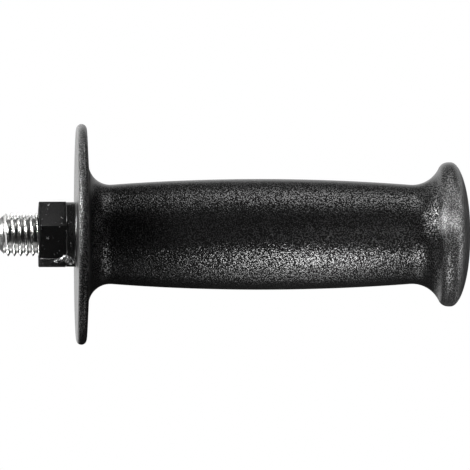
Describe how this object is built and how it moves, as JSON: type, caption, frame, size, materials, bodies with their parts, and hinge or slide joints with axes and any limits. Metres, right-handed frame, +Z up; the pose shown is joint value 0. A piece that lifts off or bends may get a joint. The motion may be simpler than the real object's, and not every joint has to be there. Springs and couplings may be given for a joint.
{
  "type": "power tool side handle",
  "caption": "Side handle for a power tool: a threaded steel stud, a hexagonal collar, a round guard disc and a swelled grip that ends in a flared dome.",
  "frame": {"origin": "on the stud's axis, in the plane of the collar's seat face, which closes on the tool", "axes": "+X along the axis from the seat face to the domed end of the grip, +Z up, and -Y faces the viewer of the picture"},
  "size_m": [0.1515, 0.071, 0.071],
  "materials": {
    "moulding": "black, spark-eroded grain",
    "stud": "rolled thread, bright zinc"
  },
  "bodies": {
    "root": {"grip_moulding": "moulding", "threaded_stud": "stud"}
  },
  "joints": []
}
